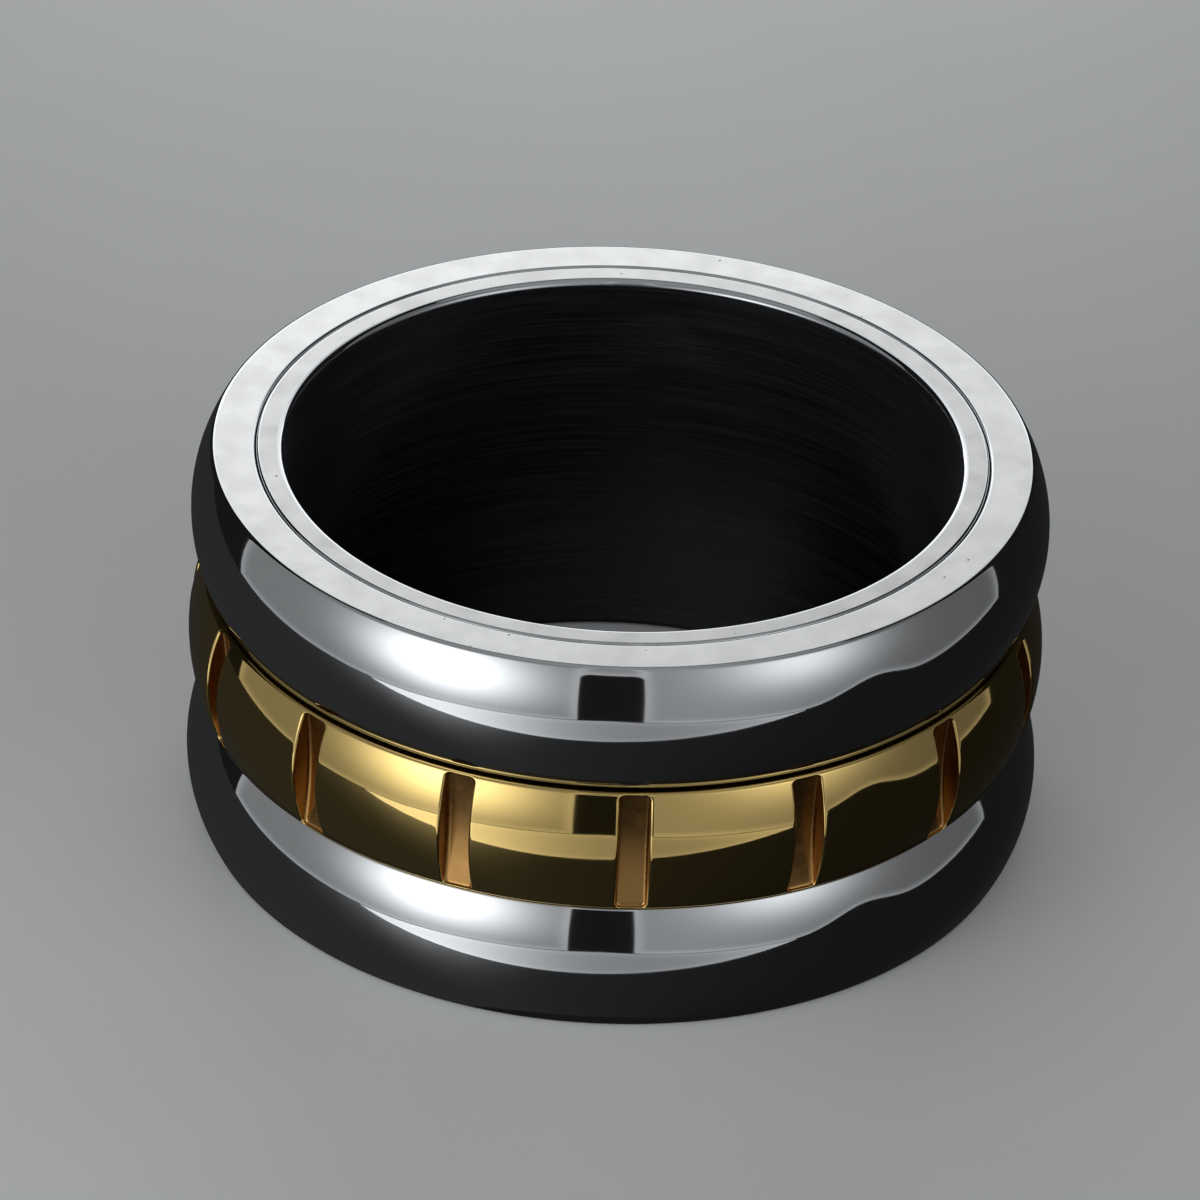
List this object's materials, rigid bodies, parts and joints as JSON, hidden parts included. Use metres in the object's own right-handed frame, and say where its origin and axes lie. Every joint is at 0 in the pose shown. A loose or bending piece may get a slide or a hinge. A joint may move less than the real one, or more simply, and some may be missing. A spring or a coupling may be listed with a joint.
{
  "type": "spinner ring",
  "caption": "Wide finger ring: a thin steel sleeve carries polished domed side rings, and a gold-coloured grooved band spins freely between them.",
  "frame": {"origin": "centre of the lower end face, on which the ring lies on its side", "axes": "+Z along the finger axis, about which the band spins; the front of the ring, as pictured, faces -Y"},
  "size_m": [0.0249, 0.0248, 0.012],
  "materials": {
    "sleeve_steel": "fine brushed stainless steel with satin end faces",
    "polished_steel": "mirror-polished stainless steel with satin end faces",
    "gold_plated_steel": "polished gold-coloured plating over stainless steel, satin in the grooves"
  },
  "bodies": {
    "fixed_ring": {"inner_sleeve": "sleeve_steel", "upper_ring": "polished_steel", "lower_ring": "polished_steel"},
    "spinner": {"spinner_band": "gold_plated_steel"}
  },
  "joints": [
    {"name": "band_spin", "type": "hinge", "parent": "fixed_ring", "child": "spinner", "pos_m": [0, 0, 0.006], "axis": [0, 0, 1], "continuous": true}
  ]
}
